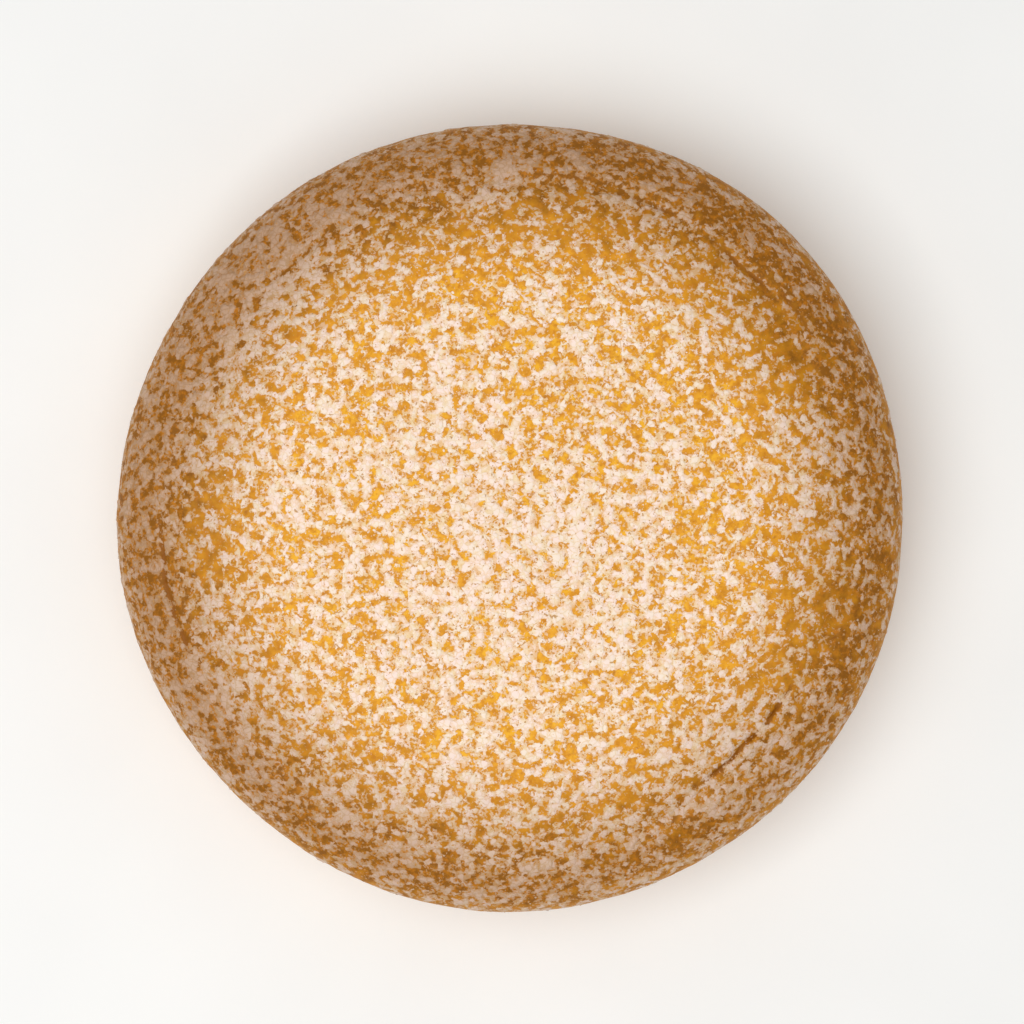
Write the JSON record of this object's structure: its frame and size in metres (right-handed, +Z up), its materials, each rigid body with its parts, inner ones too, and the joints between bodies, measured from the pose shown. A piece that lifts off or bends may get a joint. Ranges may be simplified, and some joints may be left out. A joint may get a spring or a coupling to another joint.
{
  "type": "victoria sponge cake",
  "caption": "Round sponge cake of two layers sandwiched with raspberry jam and buttercream, its gently domed top dusted with icing sugar.",
  "frame": {"origin": "centre of the flat base that the cake rests on", "axes": "+Z up through the layers; the cake is nominally round about Z"},
  "size_m": [0.1594, 0.1596, 0.0501],
  "materials": {
    "sponge_side": "baked sponge crust, matt, fine pores",
    "jam": "wet raspberry jam with seeds, glossy",
    "buttercream": "whipped buttercream, soft satin",
    "dusted_crust": "golden baked crust under a patchy dusting of icing sugar"
  },
  "bodies": {
    "root": {"lower_sponge": "sponge_side", "raspberry_jam": "jam", "buttercream": "buttercream", "upper_sponge": "dusted_crust"}
  },
  "joints": []
}
